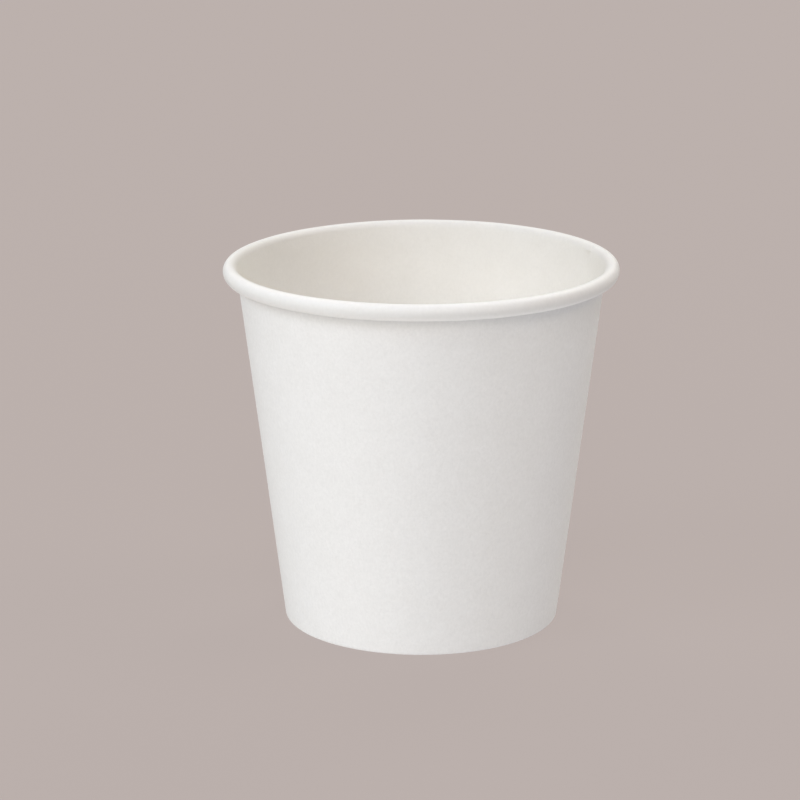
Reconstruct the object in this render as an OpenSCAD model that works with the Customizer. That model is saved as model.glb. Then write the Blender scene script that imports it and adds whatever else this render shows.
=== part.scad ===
// Paper coffee cup, small espresso size, with its mouth open upward.
// The wall is one fan-shaped blank of coated board: lapped and sealed along a
// side seam, rolled outward into a hollow rim at the top, and turned inward
// and up at the foot so that it grips the skirt of the bottom disc.
// +Z is up, and the origin is on the cup's axis at the standing plane.

/* [Cup] */
// Outside diameter over the rolled rim
rim_d = 62; // [61.4:0.1:62.6]
// Height from the standing plane to the top of the rolled rim
cup_h = 57.7; // [52:0.1:66]
// Outside diameter of the wall, carried down to the standing plane
base_d = 43.5; // [41:0.1:46]

/* [Board] */
// Thickness of the wall's board
wall_t = 0.3; // [0.28:0.01:0.35]
// Thickness of the bottom's board
bottom_t = 0.25; // [0.2:0.01:0.32]

/* [Rolled rim] */
// Width of the roll's oval section
roll_w = 2.42; // [2.36:0.02:2.5]
// Height of the roll's oval section
roll_h = 2.58; // [2.5:0.02:2.7]
// Radius of the tucked-in part of the roll, on its outer face
tuck_r = 0.83; // [0.8:0.01:0.86]
// Radius of the last stretch of the roll, on its outer face
tip_r = 0.75; // [0.72:0.01:0.78]
// Angle that the last stretch turns through
tip_turn = 55; // [30:5:70]

/* [Side seam] */
// Angle from +X of the inner cut edge of the blank, anticlockwise from above
seam_at = 20; // [0:1:180]
// Angle over which the two ends of the blank lie on each other
seam_lap = 14; // [12:1:18]
// Angle over which the outer end climbs onto the inner one
seam_rise = 6; // [4:1:10]

/* [Foot] */
// Height of the bottom's underside over the standing plane
recess_h = 6; // [5.4:0.1:7]
// Length of the wall's turned-up end inside the bottom's skirt
hem_l = 4.7; // [3.5:0.1:4.7]
// Radius of the bend from the bottom into its skirt, on its underside
bend_r = 0.35; // [0.25:0.05:0.4]
// Depth by which the fold at the foot is pressed flat
press = 0.03; // [0.02:0.01:0.05]

/* [Hidden] */
$fn = 160;

// The wall's lean from the vertical: its outer face starts at base_d / 2 on
// the standing plane and runs into the roll, whose outside its inner face meets
base_r = base_d / 2;
roll_r = roll_w / 2;
side = (roll_h - roll_w) / 2;
function lean_to(x, z) = atan2(x - base_r, z)
    - asin((roll_r - wall_t) / norm([x - base_r, z]));

// The roll's centre in the cup's section. The roll leans with the wall, so the
// room that it takes up depends a little on the lean, here a close first value
lean_1 = lean_to(rim_d / 2 - roll_r, cup_h - roll_r - side);
roll_x = rim_d / 2 - roll_r - side * sin(lean_1);
roll_z = cup_h - roll_r - side * cos(lean_1);
lean = lean_to(roll_x, roll_z);

// The fold at the foot bends round the skirt of the bottom. Its centre is at
// (-roll_r - fold_r, -wall_l) from the roll's centre, measured along the wall
fold_r = bottom_t / 2;
fold_z = fold_r + wall_t - press;
wall_l = (roll_z + (roll_r + fold_r) * sin(lean) - fold_z) / cos(lean);

// The bend between the bottom and its skirt, which lies on the wall's inside
skirt_r = bend_r + bottom_t;
bend_z = recess_h - bend_r;
bend_x = roll_x + ((bend_z - roll_z) * sin(lean) - roll_r - skirt_r) / cos(lean);
skirt_l = (bend_x - roll_x) * sin(lean) + (bend_z - roll_z) * cos(lean)
        + wall_l - 0.05;

// Steps in which the outer end of the blank climbs onto the inner one
RISE = 4;

// The frame in which the wall's section stands upright, at the roll's centre
module along_wall() translate([roll_x, roll_z]) rotate(-lean) children();

module ring(r_in, r_out) difference() { circle(r_out); circle(r_in); }

module lower_left() translate([-3, -3]) square(3);

// The rolled rim: up, over and down in two arcs with short straight sides, then
// a tighter quarter that tucks in beside the wall, then a short last stretch.
// c is the thickness.
module roll_section(c) {
    translate([0, side]) intersection() {
        ring(roll_r - c, roll_r);
        translate([-3, 0]) square([6, 3]);
    }
    translate([-roll_r, 0]) square([c, side]);
    translate([roll_r - c, -side]) square([c, 2 * side]);
    translate([0, -side]) intersection() {
        ring(roll_r - c, roll_r);
        translate([0, -3]) square(3);
    }
    translate([0, tuck_r - roll_r - side]) {
        intersection() {
            ring(tuck_r - c, tuck_r);
            lower_left();
        }
        translate([tip_r - tuck_r, 0]) intersection() {
            ring(tip_r - c, tip_r);
            polygon([[0, 0], [-3, 0], [-3, 3 * tan(tip_turn)]]);
        }
    }
}

// The whole section of the wall. The board lies between s0 and s1, measured
// outward from the inner face of a single layer; c is the roll's thickness.
module wall_section(s0, s1, c) {
    difference() {
        along_wall() {
            translate([-roll_r + s0, -wall_l]) square([s1 - s0, wall_l]);
            roll_section(c);
            // fold at the foot
            translate([-roll_r - fold_r, -wall_l]) intersection() {
                ring(fold_r + s0, fold_r + s1);
                translate([-3, -3]) square([6, 3]);
            }
            // turned-up end inside the skirt
            translate([-roll_r - bottom_t - s1, -wall_l]) square([s1 - s0, hem_l]);
        }
        // standing plane
        translate([0, -4]) square([rim_d, 4]);
    }
}

module sector(from, turn) rotate_extrude(angle = turn, start = from) children();

module sidewall() {
    color([0.93, 0.925, 0.91]) union() {
        // two layers, sealed together
        sector(seam_at - seam_lap, seam_lap) wall_section(0, 2 * wall_t, 2 * wall_t);
        // the outer end climbs onto the inner one
        for (i = [1:RISE])
            sector(seam_at + seam_rise * (RISE - i) / RISE, seam_rise / RISE)
                wall_section(wall_t * i / (RISE + 1), wall_t * (i / (RISE + 1) + 1), wall_t);
        // one layer for the rest of the way
        sector(seam_at + seam_rise, 360 - seam_lap - seam_rise)
            wall_section(0, wall_t, wall_t);
    }
}

// A flat disc whose edge is turned down into a skirt along the wall
module bottom_section() {
    translate([0, recess_h]) square([bend_x, bottom_t]);
    translate([bend_x, bend_z]) {
        difference() {
            ring(bend_r, skirt_r);
            rotate(-lean) translate([-3, -3]) square([6, 3]);
            translate([-3, -3]) square([3, 6]);
        }
        rotate(-lean) translate([bend_r, -skirt_l]) square([bottom_t, skirt_l]);
    }
}

module bottom_disc() {
    color([0.90, 0.885, 0.86]) rotate_extrude() bottom_section();
}

sidewall();
bottom_disc();
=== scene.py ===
import math

import bpy
import numpy as np
from mathutils import Matrix, Vector


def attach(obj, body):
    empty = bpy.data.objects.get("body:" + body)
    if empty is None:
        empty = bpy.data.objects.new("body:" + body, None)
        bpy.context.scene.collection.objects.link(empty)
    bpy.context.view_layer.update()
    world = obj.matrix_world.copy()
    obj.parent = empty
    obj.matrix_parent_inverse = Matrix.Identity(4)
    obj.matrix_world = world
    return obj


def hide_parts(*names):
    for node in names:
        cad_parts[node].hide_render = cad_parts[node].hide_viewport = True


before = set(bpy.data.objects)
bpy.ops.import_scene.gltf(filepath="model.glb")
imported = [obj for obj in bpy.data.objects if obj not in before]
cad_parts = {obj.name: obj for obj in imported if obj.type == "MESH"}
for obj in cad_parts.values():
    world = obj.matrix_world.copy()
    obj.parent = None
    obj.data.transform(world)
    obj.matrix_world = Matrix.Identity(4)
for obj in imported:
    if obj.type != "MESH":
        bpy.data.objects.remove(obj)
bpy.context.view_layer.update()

MM = 0.001

# ---------------------------------------------------------------- dimensions
# The same round numbers as the part's source, in millimetres
RIM_D, CUP_H, BASE_D = 62.0, 57.7, 43.5
WALL_T, BOTTOM_T = 0.30, 0.25
ROLL_A, ROLL_B, TUCK_R, TIP_R, TIP_TURN = 1.21, 1.29, 0.83, 0.75, 55.0
SEAM_AT, SEAM_LAP, SEAM_RISE = 20.0, 14.0, 6.0
RECESS_H, HEM_L, BEND_R, PRESS = 6.0, 4.7, 0.35, 0.03


def lean_to(x, z):
    return math.atan2(x - BASE_D / 2, z) - math.asin((ROLL_A - WALL_T) / math.hypot(x - BASE_D / 2, z))


LEAN_1 = lean_to(RIM_D / 2 - ROLL_A, CUP_H - ROLL_B)
ROLL_X = RIM_D / 2 - math.hypot(ROLL_A * math.cos(LEAN_1), ROLL_B * math.sin(LEAN_1))
ROLL_Z = CUP_H - math.hypot(ROLL_A * math.sin(LEAN_1), ROLL_B * math.cos(LEAN_1))
LEAN = lean_to(ROLL_X, ROLL_Z)
FOLD_R = BOTTOM_T / 2
FOLD_Z = FOLD_R + WALL_T - PRESS
WALL_L = (ROLL_Z + (ROLL_A + FOLD_R) * math.sin(LEAN) - FOLD_Z) / math.cos(LEAN)
SKIRT_R = BEND_R + BOTTOM_T
BEND_Z = RECESS_H - BEND_R
BEND_X = ROLL_X + ((BEND_Z - ROLL_Z) * math.sin(LEAN) - ROLL_A - SKIRT_R) / math.cos(LEAN)
SKIRT_L = ((BEND_X - ROLL_X) * math.sin(LEAN) + (BEND_Z - ROLL_Z) * math.cos(LEAN)
           + WALL_L - 0.05)
COS, SIN = math.cos(LEAN), math.sin(LEAN)

# The mouth is a hair out of level and out of flat, and the wall flares a hair into the roll
LEVEL, WARP, FLARE = 0.0028, (-0.066, 0.019), 0.13


def smooth(x):
    x = np.clip(x, 0.0, 1.0)
    return x * x * (3 - 2 * x)


# ------------------------------------------------- small unevenness, seeded
RNG = np.random.default_rng(4117)


def waves(n, lo, hi):
    """Amplitudes and phases of whole waves round the cup, longest strongest."""
    k = np.arange(lo, hi + 1)
    a = RNG.normal(size=(n, k.size)) / k[None, :]
    a /= np.sqrt((a * a).sum(1, keepdims=True))
    p = RNG.uniform(0, 2 * math.pi, size=(n, k.size))
    return k, a, p


def wave(w, row, theta):
    k, a, p = w
    return (a[row][:, None] * np.sin(k[:, None] * theta[None, :] + p[row][:, None])).sum(0)


BODY_W = waves(6, 3, 14)
ROLL_W = waves(4, 5, 60)
HEM_W = waves(2, 4, 40)


# ------------------------------------------------------------- mesh building
def make_object(name, co, faces, mats, face_mat, uv, sharp_deg=35.0):
    me = bpy.data.meshes.new(name)
    co = np.asarray(co, dtype=np.float32)
    faces = np.asarray(faces, dtype=np.int32)
    n = len(faces)
    me.vertices.add(len(co))
    me.vertices.foreach_set("co", (co * MM).ravel())
    me.loops.add(n * 4)
    me.loops.foreach_set("vertex_index", faces.ravel())
    me.polygons.add(n)
    me.polygons.foreach_set("loop_start", np.arange(0, n * 4, 4, dtype=np.int32))
    me.update(calc_edges=True)
    for m in mats:
        me.materials.append(m)
    me.polygons.foreach_set("material_index", np.asarray(face_mat, dtype=np.int32))
    layer = me.uv_layers.new(name="board")
    layer.data.foreach_set("uv", np.asarray(uv, dtype=np.float32).ravel())
    me.validate(verbose=False)
    me.update()
    me.shade_smooth()
    me.set_sharp_from_angle(angle=math.radians(sharp_deg))
    ob = bpy.data.objects.new(name, me)
    bpy.context.scene.collection.objects.link(ob)
    return ob


# ------------------------------------------------------------------ the wall
def wall_stations():
    """Points along the blank from the turned-up end to the roll's tip.

    Each is (kind, angle or height, length along the board from the start).
    """
    out, length = [], 0.0

    def add(kind, value, step):
        nonlocal length
        length += step
        out.append((kind, value, length))

    for i in range(9):                                   # turned-up end, downward
        add("hem", HEM_L * (1 - i / 8), 0.0 if i == 0 else HEM_L / 8)
    for i in range(1, 11):                               # fold at the foot
        add("fold", -180 + 18 * i, (FOLD_R + WALL_T / 2) * math.radians(18))
    n = 34                                               # wall, upward
    for i in range(1, n + 1):
        add("wall", -WALL_L * (1 - i / n), WALL_L / n)
    for i in range(1, 31):                               # roll
        add("roll", 180 - 9 * i, (ROLL_B - WALL_T / 2) * math.radians(9))
    for i in range(1, 8):                                # tucked in
        add("tuck", 270 - 90 * i / 7, TUCK_R * math.radians(90 / 7))
    for i in range(1, 5):                                # tip
        add("tip", 180 - TIP_TURN * i / 4, TIP_R * math.radians(TIP_TURN / 4))
    return out


def section_point(kind, v, s):
    """A point of the wall's section at distance s outward from the inner face."""
    if kind == "hem":
        x, y = -ROLL_A - BOTTOM_T - s, -WALL_L + v + 0 * s
    elif kind == "fold":
        a = math.radians(v)
        x = -ROLL_A - FOLD_R + (FOLD_R + s) * math.cos(a)
        y = -WALL_L + (FOLD_R + s) * math.sin(a)
    elif kind == "wall":
        x, y = -ROLL_A + s + FLARE * smooth(np.array((v + 2.0) / 2.0)), v + 0 * s
    else:
        a = math.radians(v)
        if kind == "roll":
            x = FLARE / 2 + (ROLL_A - FLARE / 2 - s) * math.cos(a)
            y = (ROLL_B - s) * math.sin(a)
        else:
            cx, r = (0.0, TUCK_R) if kind == "tuck" else (TIP_R - TUCK_R, TIP_R)
            x = FLARE / 2 + cx + (r - s) * math.cos(a)
            y = TUCK_R - ROLL_B + (r - s) * math.sin(a)
    return x, y


def columns():
    """Angles along the blank from its inner cut edge, clockwise from above, fine about the seam."""
    rise0 = 360 - SEAM_RISE
    part = [np.linspace(0, SEAM_LAP, 13)[:-1],
            np.linspace(SEAM_LAP, rise0, 271)[:-1],
            np.linspace(rise0, 359.4, 14)[:-1],
            np.linspace(359.4, 360, 7)[:-1],
            np.linspace(360, 360 + SEAM_LAP, 13)]
    return np.concatenate(part)


def build_wall(mats):
    deg = columns()
    th = np.radians(SEAM_AT - deg)
    st = wall_stations()
    n, m = len(th), len(st)
    # where the outer end of the blank lies on the inner one
    climb = smooth((deg - (360 - SEAM_RISE)) / SEAM_RISE)
    # and where the inner end lies under the outer one
    under = smooth((SEAM_LAP + 2.0 - deg) / 1.5)
    over = smooth((deg - 359.0) / 1.0)
    lapped = np.maximum(under, over)
    body = np.stack([wave(BODY_W, i, th) for i in range(6)])
    rollw = np.stack([wave(ROLL_W, i, th) for i in range(4)])
    hemw = np.stack([wave(HEM_W, i, th) for i in range(2)])
    # the blank's two ends meet in the seam at one angle, 360 degrees apart,
    # so every wave is a whole number of turns long

    inner = np.zeros((m, n, 3))
    outer = np.zeros((m, n, 3))
    for i, (kind, v, _) in enumerate(st):
        # thinner where the foot and the roll are pressed over the seam
        if kind in ("fold", "hem"):
            squeeze = 0.56
        elif kind == "wall":
            h = v + WALL_L
            squeeze = 0.56 + 0.44 * float(smooth(np.array(h / 6.0)))
            squeeze = min(squeeze, 0.62 + 0.38 * float(smooth(np.array(-v / 2.2))))
        else:
            squeeze = 0.62
        t = WALL_T * (1 - (1 - squeeze) * lapped)
        off = climb * WALL_T * squeeze
        # a hair between the two layers
        off = off + 0.004 * climb
        if kind not in ("wall", "fold", "hem"):
            # the roll's climb is a hairline: it is pressed flush in a die
            off = smooth((deg - 359.55) / 0.45) * (WALL_T * squeeze + 0.004)
        for s, dst in ((off, inner), (off + t, outer)):
            if kind in ("roll", "tuck", "tip"):
                x, y = section_point(kind, v, s)
                # small changes of the roll's radius and sag along the rim
                w = (180 - v) / 360.0 if kind == "roll" else 0.75
                amp = math.sin(math.pi * min(w, 0.75) / 1.5)
                r = np.hypot(x, y)
                g = 1 + 0.010 * rollw[0] * amp
                x, y = x * g + 0 * r, y * g + 0.012 * rollw[1] * amp * amp
            else:
                x, y = section_point(kind, v, s)
            x = x + 0 * th
            y = y + 0 * th
            # the wall isn't quite round: a little out and in, none at the ends
            if kind in ("wall", "roll", "tuck", "tip"):
                h = 1.0 if kind != "wall" else (v + WALL_L) / WALL_L
                bulge = (0.030 * body[0] * math.sin(math.pi * h) +
                         0.020 * body[1] * math.sin(2 * math.pi * h) +
                         0.014 * body[2] * math.sin(3 * math.pi * h + 0.6) * math.sin(math.pi * h))
                if kind != "wall":
                    bulge = 0 * th
                x = x + bulge
            if kind == "hem":
                x = x + 0.02 * hemw[0] * (v / HEM_L)
                y = y + 0.06 * hemw[1] * smooth(np.array((v - 0.6 * HEM_L) / (0.4 * HEM_L)))
            r = ROLL_X + x * COS + y * SIN
            z = ROLL_Z - x * SIN + y * COS
            px = r * np.cos(th)
            rise = LEVEL * px + WARP[0] * np.cos(2 * th) + WARP[1] * np.sin(2 * th)
            dst[i] = np.stack([px, r * np.sin(th), np.maximum(z + rise * smooth(z / CUP_H), 0.0)], -1)
    # where the fold is pressed flat, both faces keep a little board between them
    low = np.abs(inner[..., 2]) < 0.12
    inner[..., 2] = np.where(low, 0.12, inner[..., 2])

    co = np.concatenate([inner.reshape(-1, 3), outer.reshape(-1, 3)])
    base = m * n

    def vi(i, j, side):
        return side * base + i * n + j

    u = np.radians(deg) * 25.0          # unrolled, in millimetres round the wall
    v = np.array([s[2] for s in st])
    faces, fm, uv = [], [], []
    ii, jj = np.meshgrid(np.arange(m - 1), np.arange(n - 1), indexing="ij")
    ii, jj = ii.ravel(), jj.ravel()

    def grid(side, flip, mat, shift):
        q = np.stack([vi(ii, jj, side), vi(ii, jj + 1, side), vi(ii + 1, jj + 1, side), vi(ii + 1, jj, side)], -1)
        t = np.stack([np.stack([u[jj], v[ii]], -1), np.stack([u[jj + 1], v[ii]], -1),
                      np.stack([u[jj + 1], v[ii + 1]], -1), np.stack([u[jj], v[ii + 1]], -1)], 1) + shift
        if flip:
            q, t = q[:, ::-1], t[:, ::-1]
        faces.append(q)
        uv.append(t)
        fm.append(np.full(len(q), mat))

    grid(0, True, 0, (0.0, 0.0))        # film-coated face
    grid(1, False, 1, (300.0, 0.0))     # plain face
    # cut edges: both ends of the path, then both ends of the blank
    j = np.arange(n - 1)
    i = np.arange(m - 1)
    for row, flip in ((0, False), (m - 1, True)):
        q = np.stack([vi(row, j, 0), vi(row, j + 1, 0), vi(row, j + 1, 1), vi(row, j, 1)], -1)
        t = np.stack([np.stack([u[j], 0 * u[j]], -1), np.stack([u[j + 1], 0 * u[j]], -1),
                      np.stack([u[j + 1], 0 * u[j] + WALL_T], -1), np.stack([u[j], 0 * u[j] + WALL_T], -1)], 1) + (0.0, 100.0)
        q, t = (q[:, ::-1], t[:, ::-1]) if flip else (q, t)
        faces.append(q); uv.append(t); fm.append(np.full(len(q), 2))
    for col, flip in ((0, True), (n - 1, False)):
        q = np.stack([vi(i, col, 0), vi(i + 1, col, 0), vi(i + 1, col, 1), vi(i, col, 1)], -1)
        t = np.stack([np.stack([v[i], 0 * v[i]], -1), np.stack([v[i + 1], 0 * v[i]], -1),
                      np.stack([v[i + 1], 0 * v[i] + WALL_T], -1), np.stack([v[i], 0 * v[i] + WALL_T], -1)], 1) + (0.0, 110.0)
        q, t = (q[:, ::-1], t[:, ::-1]) if not flip else (q, t)
        faces.append(q); uv.append(t); fm.append(np.full(len(q), 2))
    # the columns run clockwise, so every face is turned over
    return make_object("cup_wall", co, np.concatenate(faces)[:, ::-1], mats, np.concatenate(fm),
                       np.concatenate(uv)[:, ::-1])


# ---------------------------------------------------------------- the bottom
def build_bottom(mats):
    """The disc with its skirt: one closed surface of revolution with a small dish."""
    n = 256
    th = np.linspace(0, 2 * math.pi, n, endpoint=False)
    w = waves(3, 2, 9)
    dish = [wave(w, i, th) for i in range(3)]
    top, under = [], []
    rings = [1.2] + list(np.linspace(2.6, BEND_X, 17))
    for r in rings:
        top.append((r, RECESS_H + BOTTOM_T, 0))
        under.append((r, RECESS_H, 0))
    for k in range(1, 9):
        a = math.radians(90 - (90 + math.degrees(LEAN)) * k / 8)
        top.append((BEND_X + SKIRT_R * math.cos(a), BEND_Z + SKIRT_R * math.sin(a), 1))
        under.append((BEND_X + BEND_R * math.cos(a), BEND_Z + BEND_R * math.sin(a), 1))
    for k in range(1, 7):
        y = -SKIRT_L * k / 6
        top.append((BEND_X + SKIRT_R * COS + y * SIN, BEND_Z - SKIRT_R * SIN + y * COS, 1))
        under.append((BEND_X + BEND_R * COS + y * SIN, BEND_Z - BEND_R * SIN + y * COS, 1))

    def lift(r, k):
        """A shallow sag of the flat part, in millimetres."""
        if r >= BEND_X:
            return 0 * th
        x = r / BEND_X
        return -0.16 * (1 - x * x) ** 2 + 0.03 * dish[0] * math.sin(math.pi * x) * x + 0.02 * dish[1] * math.sin(2 * math.pi * x) * x

    co, rows = [], []
    for side, prof in ((0, top), (1, under)):
        rows.append(len(co) // n)
        for r, z, _ in prof:
            h = lift(r, side)
            co.extend(np.stack([r * np.cos(th), r * np.sin(th), z + h], -1))
    co = np.array(co)
    m = len(top)
    centre_top, centre_under = len(co), len(co) + 1
    dz = float(-0.16)
    co = np.concatenate([co, [[0, 0, RECESS_H + BOTTOM_T + dz], [0, 0, RECESS_H + dz]]])
    faces, fm, uv = [], [], []
    j = np.arange(n)
    jn = (j + 1) % n

    def at(idx):
        return co[idx][:, :2]

    def put(q, mat, shift=0.0):
        faces.append(q)
        fm.append(np.full(len(q), mat))
        p = co[q]
        uv.append(p[..., :2] + shift)

    for i in range(m - 1):
        a, b = i * n, (i + 1) * n
        put(np.stack([a + j, b + j, b + jn, a + jn], -1), 0)
        a, b = (m + i) * n, (m + i + 1) * n
        put(np.stack([a + jn, b + jn, b + j, a + j], -1), 1, (80.0, 0.0))
    a, b = (m - 1) * n, (2 * m - 1) * n
    put(np.stack([a + j, b + j, b + jn, a + jn], -1), 2, 160.0)
    # the middle, as quads of two triangles' worth
    h = np.arange(0, n, 2)
    put(np.stack([np.full(n // 2, centre_top), h, h + 1, (h + 2) % n], -1), 0)
    put(np.stack([np.full(n // 2, centre_under), m * n + (h + 2) % n, m * n + h + 1, m * n + h], -1), 1, (80.0, 0.0))
    return make_object("cup_bottom", co, np.concatenate(faces), mats, np.concatenate(fm), np.concatenate(uv))


# ----------------------------------------------------------------- materials
def node(nt, kind, x, y, **props):
    nd = nt.nodes.new(kind)
    nd.location = (x, y)
    for k, v in props.items():
        setattr(nd, k, v)
    return nd


def paper(name, colour, tint, roughness, rough_span, grain, floc, ior, fibre_stretch=2.2, sheen=0.0):
    """Board: fibre grain and cloudy formation, in colour and roughness, returning the noises for a bump."""
    mat = bpy.data.materials.new(name)
    mat.use_nodes = True
    nt = mat.node_tree
    nt.nodes.clear()
    out = node(nt, "ShaderNodeOutputMaterial", 900, 0)
    bs = node(nt, "ShaderNodeBsdfPrincipled", 600, 0)
    nt.links.new(bs.outputs[0], out.inputs[0])
    bs.inputs["IOR"].default_value = ior
    bs.inputs["Sheen Weight"].default_value = sheen
    bs.inputs["Sheen Roughness"].default_value = 0.6

    co = node(nt, "ShaderNodeTexCoord", -1500, 0)
    uvmap = node(nt, "ShaderNodeUVMap", -1500, -300, uv_map="board")

    # formation: clouds of denser and thinner pulp, a few millimetres across
    clouds = node(nt, "ShaderNodeTexNoise", -1000, 300)
    clouds.inputs["Scale"].default_value = 230.0
    clouds.inputs["Detail"].default_value = 4.0
    clouds.inputs["Roughness"].default_value = 0.62
    nt.links.new(co.outputs["Object"], clouds.inputs["Vector"])

    # fine grain, half a millimetre
    fine = node(nt, "ShaderNodeTexNoise", -1000, 0)
    fine.inputs["Scale"].default_value = 2100.0
    fine.inputs["Detail"].default_value = 3.0
    fine.inputs["Roughness"].default_value = 0.6
    nt.links.new(co.outputs["Object"], fine.inputs["Vector"])

    # fibres, drawn out a little along the blank's grain
    mapping = node(nt, "ShaderNodeMapping", -1250, -300)
    mapping.inputs["Scale"].default_value = (2.0 * 1.0, 2.0 / fibre_stretch, 1.0)
    nt.links.new(uvmap.outputs["UV"], mapping.inputs["Vector"])
    fibres = node(nt, "ShaderNodeTexNoise", -1000, -300)
    fibres.inputs["Scale"].default_value = 1.2
    fibres.inputs["Detail"].default_value = 3.0
    fibres.inputs["Roughness"].default_value = 0.55
    fibres.inputs["Distortion"].default_value = 0.8
    nt.links.new(mapping.outputs["Vector"], fibres.inputs["Vector"])

    # colour
    mix_f = node(nt, "ShaderNodeMath", -700, -100, operation="ADD")
    nt.links.new(fine.outputs["Fac"], mix_f.inputs[0])
    nt.links.new(fibres.outputs["Fac"], mix_f.inputs[1])
    half = node(nt, "ShaderNodeMath", -550, -100, operation="MULTIPLY")
    half.inputs[1].default_value = 0.5
    nt.links.new(mix_f.outputs[0], half.inputs[0])

    ramp_a = node(nt, "ShaderNodeMapRange", -380, 100)
    ramp_a.inputs["From Min"].default_value = 0.3
    ramp_a.inputs["From Max"].default_value = 0.7
    ramp_a.inputs["To Min"].default_value = -grain
    ramp_a.inputs["To Max"].default_value = grain
    ramp_a.clamp = False
    nt.links.new(half.outputs[0], ramp_a.inputs["Value"])
    ramp_b = node(nt, "ShaderNodeMapRange", -380, 350)
    ramp_b.inputs["From Min"].default_value = 0.3
    ramp_b.inputs["From Max"].default_value = 0.7
    ramp_b.inputs["To Min"].default_value = -floc
    ramp_b.inputs["To Max"].default_value = floc
    ramp_b.clamp = False
    nt.links.new(clouds.outputs["Fac"], ramp_b.inputs["Value"])
    total = node(nt, "ShaderNodeMath", -180, 200, operation="ADD")
    nt.links.new(ramp_a.outputs[0], total.inputs[0])
    nt.links.new(ramp_b.outputs[0], total.inputs[1])
    gain = node(nt, "ShaderNodeMath", -30, 200, operation="ADD")
    gain.inputs[1].default_value = 1.0
    nt.links.new(total.outputs[0], gain.inputs[0])

    # the thinner places are a touch warmer
    tone = node(nt, "ShaderNodeMix", -180, 450, data_type="RGBA")
    tone.inputs["A"].default_value = (*tint, 1)
    tone.inputs["B"].default_value = (*colour, 1)
    step = node(nt, "ShaderNodeMapRange", -380, 600)
    step.inputs["From Min"].default_value = 0.35
    step.inputs["From Max"].default_value = 0.65
    nt.links.new(clouds.outputs["Fac"], step.inputs["Value"])
    nt.links.new(step.outputs[0], tone.inputs["Factor"])
    mul = node(nt, "ShaderNodeVectorMath", 150, 350, operation="SCALE")
    nt.links.new(tone.outputs["Result"], mul.inputs[0])
    nt.links.new(gain.outputs[0], mul.inputs["Scale"])
    nt.links.new(mul.outputs[0], bs.inputs["Base Color"])

    # roughness
    rr = node(nt, "ShaderNodeMapRange", 150, -50)
    rr.inputs["From Min"].default_value = 0.3
    rr.inputs["From Max"].default_value = 0.7
    rr.inputs["To Min"].default_value = roughness - rough_span
    rr.inputs["To Max"].default_value = roughness + rough_span
    nt.links.new(half.outputs[0], rr.inputs["Value"])
    nt.links.new(rr.outputs[0], bs.inputs["Roughness"])
    return mat, nt, bs, half, clouds


def add_bump(nt, bs, fine_out, fine_mm, clouds_out, cloud_mm):
    b1 = node(nt, "ShaderNodeBump", 150, -350)
    b1.inputs["Strength"].default_value = 1.0
    b1.inputs["Distance"].default_value = cloud_mm * MM
    nt.links.new(clouds_out, b1.inputs["Height"])
    b2 = node(nt, "ShaderNodeBump", 380, -350)
    b2.inputs["Strength"].default_value = 1.0
    b2.inputs["Distance"].default_value = fine_mm * MM
    nt.links.new(fine_out, b2.inputs["Height"])
    nt.links.new(b1.outputs[0], b2.inputs["Normal"])
    nt.links.new(b2.outputs[0], bs.inputs["Normal"])


# Painted light and shade on the roll, by the direction that its section faces, in degrees:
# lighter on its top, darker on its inner slope and its outer face; and from its top
# round its outside it is a hair cooler
ROLL_PAINTED_SHADE = ((178, 1.0), (166, 0.985), (152, 0.965), (136, 0.945), (120, 0.945), (107, 0.965),
             (97, 0.99), (86, 1.02), (74, 1.04), (60, 1.04), (47, 1.02), (36, 0.995), (26, 0.97),
             (16, 0.94), (5, 0.905), (-5, 0.895), (-15, 0.91), (-25, 0.95), (-36, 1.0), (-56, 1.015), (-80, 1.0))
ROLL_TINT = (0.992, 1.0, 1.014)


# and painted shade in the crease of the wall under the roll, darker towards the roll,
# by the height in millimetres from the roll's centre
CREASE_PAINTED_SHADE = ((-3.1, 1.0), (-2.6, 0.985), (-2.2, 0.965), (-1.9, 0.94), (-1.6, 0.93))


def paint_shade_along(nt, bs, start, end, tones):
    """Paints light and shade into the colour along the board, by the length in millimetres from its turned-up end."""
    low, high = 0.85, 1.10
    uvmap = node(nt, "ShaderNodeUVMap", -380, 900, uv_map="board")
    part = node(nt, "ShaderNodeSeparateXYZ", -200, 900)
    nt.links.new(uvmap.outputs["UV"], part.inputs[0])
    along = node(nt, "ShaderNodeMapRange", 0, 900)
    along.inputs["From Min"].default_value = start
    along.inputs["From Max"].default_value = end
    nt.links.new(part.outputs["Y"], along.inputs["Value"])
    ramp = node(nt, "ShaderNodeValToRGB", 180, 900)
    ramp.color_ramp.interpolation = "EASE"
    stops = ramp.color_ramp.elements
    for i, (length, tone) in enumerate(tones):
        at = (length - start) / (end - start)
        stop = stops[i] if i < 2 else stops.new(at)
        stop.position = at
        stop.color = (*[(g - low) / (high - low) for g in tone], 1)
    nt.links.new(along.outputs[0], ramp.inputs["Fac"])
    gain = node(nt, "ShaderNodeVectorMath", 450, 900, operation="MULTIPLY_ADD")
    nt.links.new(ramp.outputs["Color"], gain.inputs[0])
    gain.inputs[1].default_value = (high - low,) * 3
    gain.inputs[2].default_value = (low,) * 3
    mul = node(nt, "ShaderNodeVectorMath", 450, 500, operation="MULTIPLY")
    nt.links.new(bs.inputs["Base Color"].links[0].from_socket, mul.inputs[0])
    nt.links.new(gain.outputs[0], mul.inputs[1])
    nt.links.new(mul.outputs[0], bs.inputs["Base Color"])


# the roll's painted light and shade, as stops along the board
def roll_painted_shade_stops(start, end):
    out = []
    for deg, value in ROLL_PAINTED_SHADE:
        cool = float(smooth(np.array((140 - deg) / 40.0)))
        out.append((start + (end - start) * (180 - deg) / 270.0, [value * (1 + cool * (t - 1)) for t in ROLL_TINT]))
    return out


PLACE = {(kind, round(v)): along for kind, v, along in wall_stations()}
ROLL_START, ROLL_END = PLACE[("wall", 0)], PLACE[("roll", -90)]

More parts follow.
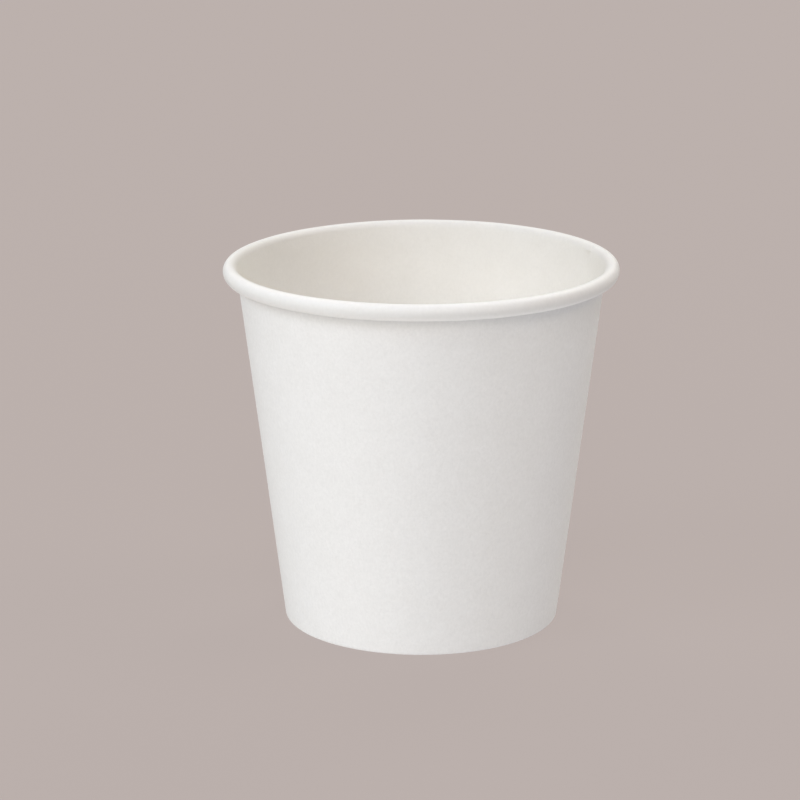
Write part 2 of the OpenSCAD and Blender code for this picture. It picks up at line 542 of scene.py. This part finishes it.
outside, nt, bs, half, clouds = paper("board_plain", (0.850, 0.847, 0.839), (0.842, 0.838, 0.828), 0.85, 0.05, 0.042, 0.004, 1.38)
add_bump(nt, bs, half.outputs[0], 0.030, clouds.outputs["Fac"], 0.008)
# painted shade in the crease under the roll, on the outer face
paint_shade_along(nt, bs, ROLL_START - 3.2, ROLL_START, [(ROLL_START + y, (t, t, t)) for y, t in CREASE_PAINTED_SHADE])
inside, nt, bs, half, clouds = paper("board_film", (0.895, 0.880, 0.850), (0.887, 0.871, 0.839), 0.56, 0.06, 0.024, 0.004, 1.38)
add_bump(nt, bs, half.outputs[0], 0.014, clouds.outputs["Fac"], 0.008)
# painted light and shade on the roll, by the way its section faces
paint_shade_along(nt, bs, ROLL_START, ROLL_END, roll_painted_shade_stops(ROLL_START, ROLL_END))
cut, nt, bs, half, clouds = paper("board_cut", (0.76, 0.745, 0.71), (0.70, 0.68, 0.64), 0.9, 0.04, 0.05, 0.03, 1.38)
add_bump(nt, bs, half.outputs[0], 0.05, clouds.outputs["Fac"], 0.02)

wall = build_wall([inside, outside, cut])
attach(wall, "root")
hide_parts("sidewall")
bottom = build_bottom([inside, outside, cut])
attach(bottom, "root")
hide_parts("bottom_disc")

# ------------------------------------------------------------ floor and world
floor_mat = bpy.data.materials.new("floor")
floor_mat.use_nodes = True
nt = floor_mat.node_tree
bs = nt.nodes["Principled BSDF"]
bs.inputs["Roughness"].default_value = 0.95
bs.inputs["Specular IOR Level"].default_value = 0.1
tc = node(nt, "ShaderNodeTexCoord", -900, 0)
nz = node(nt, "ShaderNodeTexNoise", -700, 0)
nz.inputs["Scale"].default_value = 300.0
nz.inputs["Detail"].default_value = 3.0
nt.links.new(tc.outputs["Object"], nz.inputs["Vector"])
cr = node(nt, "ShaderNodeMix", -400, 0, data_type="RGBA")
FLOOR = (0.040, 0.035, 0.033)
FLOOR_GLOW = (0.4480, 0.3900, 0.3712)
cr.inputs["A"].default_value = (*[c * 0.995 for c in FLOOR], 1)
cr.inputs["B"].default_value = (*[c * 1.005 for c in FLOOR], 1)
nt.links.new(nz.outputs["Fac"], cr.inputs["Factor"])
nt.links.new(cr.outputs["Result"], bs.inputs["Base Color"])
bs.inputs["Emission Color"].default_value = (*FLOOR_GLOW, 1)
bs.inputs["Emission Strength"].default_value = 1.0

me = bpy.data.meshes.new("floor")
R = 6.0
N = 96
fv = [(0.0, 0.0, 0.0)] + [(R * math.cos(2 * math.pi * i / N), R * math.sin(2 * math.pi * i / N), 0.0) for i in range(N)]
me.from_pydata(fv, [], [(0, 1 + i, 1 + (i + 1) % N) for i in range(N)])
me.materials.append(floor_mat)
floor = bpy.data.objects.new("floor", me)
bpy.context.scene.collection.objects.link(floor)
floor.visible_shadow = False       # a light table: the soft light under it comes through

scene = bpy.context.scene
world = bpy.data.worlds.new("studio")
scene.world = world
world.use_nodes = True
bg = world.node_tree.nodes["Background"]
# past the floor's edge low views see the floor's own colour, which lights nothing
bg.inputs["Color"].default_value = (0.4969, 0.4342, 0.4125, 1)
bg.inputs["Strength"].default_value = 1.0
seen_by = world.cycles_visibility
seen_by.camera = True
seen_by.diffuse = seen_by.glossy = seen_by.transmission = seen_by.scatter = False
world.cycles.sampling_method = "NONE"


def sun(name, azimuth, elevation, strength, angle, colour=(1, 1, 1)):
    """A broad light from far off. Azimuth 0 is the camera's side, 90 is +X."""
    li = bpy.data.lights.new(name, "SUN")
    li.energy = strength
    li.angle = math.radians(angle)
    li.color = colour
    if elevation < 0:
        # it reaches the cup through the floor alone, so rays sent out to meet it can't count
        li.cycles.use_multiple_importance_sampling = False
    ob = bpy.data.objects.new(name, li)
    a, e = math.radians(azimuth), math.radians(elevation)
    d = Vector((math.sin(a) * math.cos(e), -math.cos(a) * math.cos(e), math.sin(e)))
    ob.rotation_mode = "QUATERNION"
    ob.rotation_quaternion = d.to_track_quat("Z", "Y")
    scene.collection.objects.link(ob)
    return ob


sun("over_65_r000", 0, 65, 0.273, 26, (0.76, 0.886, 1.0))
sun("over_65_r090", 90, 65, 0.463, 26, (0.945, 0.91, 1.0))
sun("over_65_r180", 180, 65, 0.497, 26, (0.74, 0.784, 1.0))
sun("over_40_l150", -150, 40, 0.579, 26, (1.0, 0.877, 0.664))
sun("over_40_l060", -60, 40, 0.966, 26, (0.854, 0.932, 1.0))
sun("over_40_r000", 0, 40, 0.671, 26, (0.993, 0.957, 1.0))
sun("over_40_r090", 90, 40, 0.562, 26, (1.0, 0.855, 0.647))
sun("over_40_r150", 150, 40, 0.749, 26, (0.994, 1.0, 0.838))
sun("over_20_l055", -55, 20, 0.241, 26, (0.868, 0.856, 1.0))
sun("over_20_l030", -30, 20, 0.528, 26, (1.0, 0.902, 0.679))
sun("under_22_l075", -75, -22, 0.309, 44, (0.894, 1.0, 0.995))
sun("under_22_l030", -30, -22, 0.61, 44, (0.834, 0.944, 1.0))
sun("under_22_r075", 75, -22, 0.34, 44, (0.768, 0.895, 1.0))
sun("under_60_r075", 75, -60, 0.45, 44, (0.78, 0.89, 0.96))

# -------------------------------------------------------------------- camera
PHI, DIST, FPX, AIM_Z, YAW, ROLL = 0.2676, 0.49443, 3123.1, 0.03498, 0.00700, -0.00152
cam_data = bpy.data.cameras.new("camera")
cam_data.sensor_fit = "HORIZONTAL"
cam_data.sensor_width = 36.0
cam_data.lens = FPX * 36.0 / 800.0
cam_data.clip_start, cam_data.clip_end = 0.02, 50.0
cam = bpy.data.objects.new("camera", cam_data)
cam.matrix_world = (
    Matrix.Translation((0.0, -DIST * math.cos(PHI), AIM_Z + DIST * math.sin(PHI)))
    @ Matrix.Rotation(YAW, 4, "Z")
    @ Matrix.Rotation(math.pi / 2 - PHI, 4, "X")
    @ Matrix.Rotation(ROLL, 4, "Z"))
scene.collection.objects.link(cam)
scene.camera = cam

scene.view_settings.view_transform = "Standard"
scene.view_settings.look = "None"
scene.view_settings.exposure = 0.0
scene.view_settings.gamma = 1.0

# ---------------------------------------------------------------------- end
bpy.context.view_layer.update()
